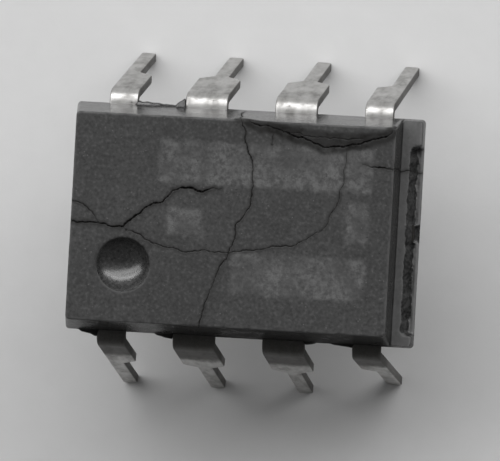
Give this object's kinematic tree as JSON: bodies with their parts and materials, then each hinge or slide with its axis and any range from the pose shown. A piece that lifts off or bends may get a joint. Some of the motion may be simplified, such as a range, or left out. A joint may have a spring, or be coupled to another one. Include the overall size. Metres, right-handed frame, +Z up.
{
  "type": "dual in-line integrated circuit package",
  "caption": "Moulded epoxy integrated circuit package with two rows of bent through-hole leads, a round index dimple, a stepped end and a cracked top.",
  "frame": {"origin": "middle of the footprint, in the plane that the eight lead tips stand on", "axes": "+X along the lead rows from the index end to the stepped end, +Y from leads 1-4 towards leads 5-8, +Z up out of the top face"},
  "size_m": [0.0098, 0.0094, 0.0072],
  "materials": {
    "epoxy": "moulded epoxy, fine satin grain, cracked and slightly worn",
    "plated_lead": "solder-dipped and tarnished, worn at the tips",
    "silver_spot": "stamped, silver spot plated",
    "attach_paste": "cured silver-filled paste",
    "silicon": "polished silicon with an oxide surface",
    "gold_wire": "drawn gold wire"
  },
  "bodies": {
    "root": {"body": "epoxy", "lead_1": "plated_lead", "lead_2": "plated_lead", "lead_3": "plated_lead", "lead_4": "plated_lead", "lead_5": "plated_lead", "lead_6": "plated_lead", "lead_7": "plated_lead", "lead_8": "plated_lead", "die_paddle": "silver_spot", "die_attach": "attach_paste", "die": "silicon", "bond_wire_1": "gold_wire", "bond_wire_2": "gold_wire", "bond_wire_3": "gold_wire", "bond_wire_4": "gold_wire", "bond_wire_5": "gold_wire", "bond_wire_6": "gold_wire", "bond_wire_7": "gold_wire", "bond_wire_8": "gold_wire"}
  },
  "joints": []
}
